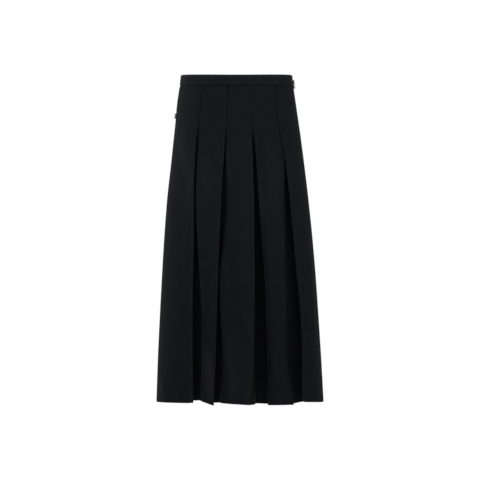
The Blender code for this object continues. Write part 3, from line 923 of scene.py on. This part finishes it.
def plainMaterial(name, values):
    made = bpy.data.materials.new(name)
    made.use_nodes = True
    tree = made.node_tree
    setInputs(tree, tree.nodes["Principled BSDF"], values)
    return made


def dressedMaterial(name, group, settings, feeds):
    # feeds: the group's linked inputs, each with the node, its output and its choices
    made = plainMaterial(name, settings["shader"])
    tree = made.node_tree
    dressed = addNode(tree, "ShaderNodeGroup", settings["group"], node_tree=group)
    for socket, kind, output, choices in feeds:
        feeding = addNode(tree, kind, **choices)
        tree.links.new(feeding.outputs[output], dressed.inputs[socket])
    colour, roughness, height = dressed.outputs
    setInputs(tree, tree.nodes["Principled BSDF"], {
        "Base Color": colour,
        "Roughness": roughness,
        "Normal": addNode(tree, "ShaderNodeBump", dict(settings["bump"], Height=height)),
    })
    return made


skirtWool = {
    "group": {
        "Colour": (0.0068, 0.0073, 0.0098, 1.0),
        "Shine": (0.045, 0.045, 0.052, 1.0),
        "Polish": 0.5,  # how far a painted highlight takes the shine's colour
        "Threads": 1900.0,  # to the metre
        "Mottle": 0.5,
        "Roughness": 0.88,
    },
    "bump": {"Strength": 0.35, "Distance": 0.0001},
    "shader": {
        "Specular IOR Level": 0.06,
        "Sheen Weight": 0.03,
        "Sheen Roughness": 0.45,
        "Sheen Tint": (0.92, 0.94, 1.0, 1.0),
    },
}
bandWool = dict(skirtWool, group=dict(skirtWool["group"], Colour=(0.0083, 0.0088, 0.0112, 1.0)))
blackLeather = {
    "group": {
        "Colour": (0.0075, 0.0072, 0.0074, 1.0),
        "Roughness": 0.52,
        "Scale": 1300.0,
        "Unevenness": 0.5,
    },
    "bump": {"Strength": 0.5, "Distance": 0.0002},
    "shader": {"Base Color": (0.0075, 0.0072, 0.0074, 1.0), "Specular IOR Level": 0.16},
}
polishedSteel = {
    "group": {
        "Colour": (0.62, 0.60, 0.58, 1.0),
        "Roughness": 0.22,
        "Scale": 420.0,
        "Unevenness": 0.35,
    },
    "bump": {"Strength": 0.08, "Distance": 0.0001},
    "shader": {"Base Color": (0.62, 0.60, 0.58, 1.0), "Metallic": 1.0},
}

onCloth = (
    ("Map", "ShaderNodeUVMap", "UV", {"uv_map": "cloth"}),
    ("Pressed", "ShaderNodeAttribute", "Fac", {"attribute_name": "pressed"}),
)
onObject = (("Place", "ShaderNodeTexCoord", "Object", {}),)
woolWeave = weaveGroup()
leatherGrain = dressedGroup("leatherGrain", (1, 1, 1), True)
steelScratches = dressedGroup("steelScratches", (1, 1, 14), False)
skirtFinish = dressedMaterial("skirtWool", woolWeave, skirtWool, onCloth)
bandFinish = dressedMaterial("bandWool", woolWeave, bandWool, onCloth)
leather = dressedMaterial("blackLeather", leatherGrain, blackLeather, onObject)
steel = dressedMaterial("polishedSteel", steelScratches, polishedSteel, onObject)
thread = plainMaterial("blackThread", {
    "Base Color": (0.022, 0.022, 0.024, 1.0),
    "Roughness": 0.6,
    "Specular IOR Level": 0.3,
})
frontCloth.data.materials.append(skirtFinish)
backCloth.data.materials.append(skirtFinish)
bandCloth.data.materials.append(bandFinish)
print("materials made")

# buckled straps, in millimetres: height and width, the buckle's place front to back, the frame's
# length and height between bar centres, the bars' radius, the strap's front end and tip, the tab's
# end, the leather's thickness, and how far the band bulges there
Strap = namedtuple(
    "Strap", "name side height width centre length rise bar front tip tabEnd leather bulge"
)
straps = table(
    Strap, 2, 13,
    ("hip", -1, -85.8, 8.6, 13, 18, 12.2, 1.1, -28, 58, 44, 1.0, 0.0),
    ("waist", +1, -5.0, 15.0, 14, 20, 21.0, 1.25, -34, 66, 50, 1.2, 0.3),
)

hardware = {
    "gap": 0.0003,
    "tab": 0.0006,
    "tabShare": 0.9,  # of the strap's width
    "tabMeets": 0.008,  # where the tab's two layers meet behind the heel bar
    "crown": 0.00015,
    "columns": 9,
    "step": 0.0012,
    "tipShare": 0.95,  # of half the width, that the tip's rounding takes
    "tipTurn": 84.375,  # degrees of it, so that the tip stays a little blunt
    "tipSteps": 9,
    "edge": 0.0002,
    "edgeAngle": 60,  # edges sharper than this are softened
    "leatherAngle": 38,  # and faces meet in a sharp line beyond these
    "wireAngle": 50,
    "bendSteps": 7,
    "holeSteps": 14,
    "slot": 0.0013,  # half-width of the long hole that the prong passes through
    "slotEnds": (0.0025, 0.0050),
    "holes": (0.014, 0.020, 0.026),  # behind the heel bar
    "hole": 0.0009,
    "plug": (-0.003, 0.016),  # from inside the cloth to outside the strap
    "frameCorner": 0.0028,
    "prong": 0.0008,
    "prongBow": 0.0004,
    "overhang": 0.0018,
    "stitchInset": 0.0014,
    "sewnEnd": (0.0016, 0.007),  # where stitches cross a strap's front end
}

# where a strap's layers lie outwards of the cloth, and the frame's bars front to back
Layers = namedtuple("Layers", "far heel low bar loop over tabLow tabTop end")


def onSide(strap, y, rise, lift):
    # a point over the skirt's side: front to back, above the strap's middle, and outwards
    height = strap.height + rise
    at, out = around(formAt(height), y, strap.side)
    return Vector((*(at + out * (lift + strap.bulge)), height))


def layersOf(strap):
    gap, tab, thick = hardware["gap"], hardware["tab"], strap.leather
    bar = 2 * gap + thick + strap.bar
    loop = strap.bar + gap + tab / 2
    tabLow = gap + tab / 2
    tabTop = tabLow + tab + gap
    over = bar + loop + tab / 2 + gap + thick / 2
    far, heel = strap.centre - strap.length / 2, strap.centre + strap.length / 2
    end = tabTop + tab / 2 + gap + thick / 2
    return Layers(far, heel, gap + thick / 2, bar, loop, over, tabLow, tabTop, end)


def strapLift(strap, at, y):
    # under the far bar, up through the frame, over the heel bar and down onto the tab
    climb = (at.over - at.low) / 4
    run = (
        (strap.front, at.low), (at.far, at.low), (at.far + 3.0 * mm, at.low + 0.3 * climb),
        (at.far + 6.5 * mm, at.low + 1.5 * climb), (at.heel - 5.5 * mm, at.over - 0.7 * climb),
        (at.heel - 2 * mm, at.over), (at.heel + 2 * mm, at.over),
        (at.heel + 7 * mm, at.over - 0.9 * climb), (at.heel + 15 * mm, at.end + 0.3 * mm),
        (strap.tip - 8 * mm, at.end), (strap.tip, at.end),
    )
    return smoothThrough([-place for place, _ in run], [lift for _, lift in run], -y)


def softened(piece, degrees):
    # made real, with smooth faces and edges that are sharp beyond an angle
    made = madeReal(piece)
    made.data.shade_smooth()
    made.data.set_sharp_from_angle(angle=math.radians(degrees))
    return made


def ribbon(name, rows, thickness, plug=None):
    # a leather strip from rows of points along its middle, with softened edges
    count = len(rows[0])
    piece = newMesh(name, [point for row in rows for point in row], [
        (a, a + 1, a + count + 1, a + count)
        for i in range(len(rows) - 1) for a in range(i * count, (i + 1) * count - 1)
    ])
    piece.data.materials.append(leather)
    wall = piece.modifiers.new("wall", "SOLIDIFY")
    wall.thickness, wall.offset = thickness, 0.0
    soft = piece.modifiers.new("soft", "BEVEL")
    soft.width, soft.segments = hardware["edge"], 2
    soft.angle_limit = math.radians(hardware["edgeAngle"])
    if plug:
        holes = piece.modifiers.new("holes", "BOOLEAN")
        holes.operation, holes.solver, holes.object = "DIFFERENCE", "EXACT", plug
    made = softened(piece, hardware["leatherAngle"])
    if plug:
        bpy.data.objects.remove(plug)
    return made


def arc(y, z, radius, start, span, steps):
    # points round a centre, from a start and over a span in half-turns
    angles = evenly(math.pi * start, math.pi * (start + span), steps)
    return [(y + radius * math.cos(angle), z + radius * math.sin(angle)) for angle in angles]


def roundHole(y, radius):
    return arc(y, 0.0, radius, 0, 2, hardware["holeSteps"])[:-1]


def longHole(start, end, radius):
    ends, steps = ((end - radius, -0.5), (start + radius, 0.5)), hardware["bendSteps"]
    return [point for y, turn in ends for point in arc(y, 0.0, radius, turn, 1, steps)]


def holePlug(strap, outlines):
    # one mesh that cuts every hole, from their outlines of (front to back, rise)
    points, faces = [], []
    for outline in outlines:
        base, count = len(points), len(outline)
        for lift in hardware["plug"]:
            points += [onSide(strap, y, rise, lift) for y, rise in outline]
        low = list(range(base, base + count))
        loops = [low[::-1], [v + count for v in low]]
        loops += [[a, b, b + count, a + count] for a, b in zip(low, low[1:] + low[:1])]
        faces += [loop[::strap.side] for loop in loops]
    return newMesh("plug", points, faces)


def strapRow(strap, y, half, lift):
    # points across a strip, a little crowned
    return [
        onSide(strap, y, half * c, lift + hardware["crown"] * (1 - c * c))
        for c in evenly(-1, 1, hardware["columns"] - 1)
    ]


def makeStrap(strap, at):
    half = strap.width / 2
    rounding = half * hardware["tipShare"]
    end = strap.tip - rounding
    steps = math.ceil((end - strap.front) / hardware["step"])
    stations = [(y, half) for y in evenly(strap.front, end, steps)[:-1]]
    for turn in evenly(0.0, math.radians(hardware["tipTurn"]), hardware["tipSteps"]):
        stations.append((end + rounding * math.sin(turn), half * math.cos(turn)))
    rows = [strapRow(strap, y, wide, strapLift(strap, at, y)) for y, wide in stations]
    before, after = hardware["slotEnds"]
    outlines = [longHole(at.far + before, at.heel - after, hardware["slot"])]
    outlines += [roundHole(at.heel + behind, hardware["hole"]) for behind in hardware["holes"]]
    return ribbon(strap.name + "Strap", rows, strap.leather, holePlug(strap, outlines))


def makeTab(strap, at):
    # two layers that hold the heel bar in their loop
    end, meets = strap.tabEnd, at.heel + hardware["tabMeets"]

    def run(start, finish, steps):
        return list(zip(*(evenly(a, b, steps) for a, b in zip(start, finish))))

    lower, upper = (meets, at.tabLow), (meets, at.tabTop + hardware["gap"])
    path = run((end, at.tabLow), lower, 24)[:-1]
    path += run(lower, (at.heel, at.bar - at.loop), 6)[:-2]
    path += arc(at.heel, at.bar, at.loop, -100 / 180, -1, 12)
    path += run((at.heel, at.bar + at.loop), upper, 6)[1:] + run(upper, (end, at.tabTop), 24)[1:]
    for _ in range(2):
        path[1:-1] = [
            tuple((a + 2 * b + c) / 4 for a, b, c in zip(before, here, after))
            for before, here, after in zip(path, path[1:], path[2:])
        ]
    half = strap.width / 2 * hardware["tabShare"]
    rows = [[onSide(strap, y, half * c, lift) for c in (-1, -0.5, 0, 0.5, 1)] for y, lift in path]
    return ribbon(strap.name + "Tab", rows, hardware["tab"])


def wire(name, points, radii, closed):
    piece = lineCurve(name, [points], closed)
    curve = piece.data
    curve.bevel_depth = 1.0
    curve.bevel_resolution = 4
    curve.use_fill_caps = not closed
    curve.splines[0].points.foreach_set("radius", radii)
    curve.materials.append(steel)
    return softened(piece, hardware["wireAngle"])


def makeFrame(strap, at):
    up, bend = strap.rise / 2, hardware["frameCorner"]
    farBar, heelBar = (onSide(strap, y, 0.0, at.bar) for y in (at.far, at.heel))
    tall = (onSide(strap, at.far, up, at.bar) - onSide(strap, at.far, -up, at.bar)) / (2 * up)
    outline = []
    front, back, side = at.far + bend, at.heel - bend, up - bend
    for y, z, turn in ((back, side, 0), (front, side, 0.5), (front, -side, 1), (back, -side, 1.5)):
        outline += arc(y, z, bend, turn, 0.5, hardware["bendSteps"])
    points = [
        farBar.lerp(heelBar, (y - at.far) / (at.heel - at.far)) + tall * z for y, z in outline
    ]
    return wire(strap.name + "Buckle", points, [strap.bar] * len(points), True)


def makeProng(strap, at):
    thick, gap = hardware["prong"], hardware["gap"]
    resting = at.bar + strap.bar + gap + thick
    start = at.heel - at.loop - hardware["tab"] / 2 - 2 * gap
    keys = (at.far - hardware["overhang"], at.far + strap.bar, (at.far + at.heel) / 2, start)
    lifts = (resting, resting, (at.bar + resting) / 2 + hardware["prongBow"], at.bar)
    points, radii = [], []
    for k, y in enumerate(evenly(keys[0], keys[-1], 24)):
        lift = smoothThrough([-key for key in keys], lifts, -y)
        points.append(onSide(strap, y, 0.0, lift))
        radii.append(thick * min(1.0, 0.45 + 0.35 * math.sqrt(k), 0.8 + 0.02 * k))
    return wire(strap.name + "Prong", points, radii, False)


def makeStrapStitches(strap, at):
    # along both edges, on either side of the buckle, and twice across the sewn end
    half = strap.width / 2 - hardware["stitchInset"]
    first, second = (strap.front + behind for behind in hardware["sewnEnd"])

    def onTop(y, rise):
        crown = hardware["crown"] * (1 - (2 * rise / strap.width) ** 2)
        return onSide(strap, y, rise, strapLift(strap, at, y) + strap.leather / 2 + crown)

    lines = []
    for start, end in ((first, at.far - 2.5 * mm), (at.heel + 7 * mm, strap.tip - 6 * mm)):
        lines += [[onTop(y, rise) for y in evenly(start, end, 20)] for rise in (-half, half)]
    lines += [[onTop(y, rise) for rise in evenly(-half, half, 10)] for y in (first, second)]
    return stitchRows(strap.name + "Stitches", lines)


for strap in straps:
    layers = layersOf(strap)
    for make, part, slot in (
        (makeStrap, "strap", "leather"), (makeTab, "tab", "leather"),
        (makeFrame, "buckle", "steel"), (makeProng, "prong", "steel"),
    ):
        node = f"{strap.name}_{part}"
        riding(make(strap, layers), f"{node}_{slot}", node)
    riding(makeStrapStitches(strap, layers), strap.name + "_strap_leather")
    print(strap.name, "strap made")

studio = {
    "floorHeight": -1.35,
    "floorHalf": 4.0,
    "floorColour": (0.88, 0.88, 0.88, 1.0),
    "backdrop": 1.0,
    "ambient": 0.31,
}


def makeFloor():
    half, z = studio["floorHalf"], studio["floorHeight"]
    corners = [(-half, -half, z), (half, -half, z), (half, half, z), (-half, half, z)]
    floor = newMesh("floor", corners, [(0, 1, 2, 3)])
    look = {"Base Color": studio["floorColour"], "Roughness": 0.9}
    floor.data.materials.append(plainMaterial("paleFloor", look))


def makeWorld():
    world = bpy.data.worlds.new("studio")
    bpy.context.scene.world = world
    world.use_nodes = True
    tree = world.node_tree
    tree.nodes.clear()
    white = (1.0, 1.0, 1.0, 1.0)
    soft, seen = (
        addNode(tree, "ShaderNodeBackground", {"Color": white, "Strength": studio[name]})
        for name in ("ambient", "backdrop")
    )
    direct = addNode(tree, "ShaderNodeLightPath").outputs["Is Camera Ray"]
    both = addNode(tree, "ShaderNodeMixShader", {0: direct, 1: soft, 2: seen})
    addNode(tree, "ShaderNodeOutputWorld", {"Surface": both})


softboxes = (
    # name, place, aim, width, height, watts
    ("leftBox", (-0.95, 0.25, 0.4), (-0.1, 0, -0.2), 0.5, 0.5, 6.2),
    ("rightBox", (1.0, 0.1, 0.45), (0.1, 0, -0.1), 0.5, 0.5, 1.8),
    ("frontBox", (0.06, -1.15, -0.08), (0, 0, -0.15), 1.9, 0.4, 11.1),
    ("backBox", (0.0, 2.4, 0.5), (0, 0, -0.3), 1.6, 1.2, 24),
)


def makeLights():
    for name, place, aim, width, height, watts in softboxes:
        light = bpy.data.lights.new(name, "AREA")
        light.shape = "RECTANGLE"
        light.size, light.size_y = width, height
        light.energy = watts
        lamp = newObject(name, light)
        lamp.location = place
        lamp.rotation_euler = (Vector(aim) - Vector(place)).to_track_quat("-Z", "Y").to_euler()


view = {"place": (0.0089, -7.7, -0.4021), "lens": 226.9, "sensor": 36.0, "farthest": 50}


def makeCamera():
    data = bpy.data.cameras.new("camera")
    data.lens, data.sensor_width = view["lens"], view["sensor"]
    data.clip_end = view["farthest"]
    camera = newObject("camera", data)
    camera.location = view["place"]
    camera.rotation_euler = (math.pi / 2, 0, 0)
    bpy.context.scene.camera = camera


makeFloor()
makeWorld()
makeLights()
makeCamera()
bpy.context.scene.view_settings.view_transform = "Standard"
print("floor, light and camera set")
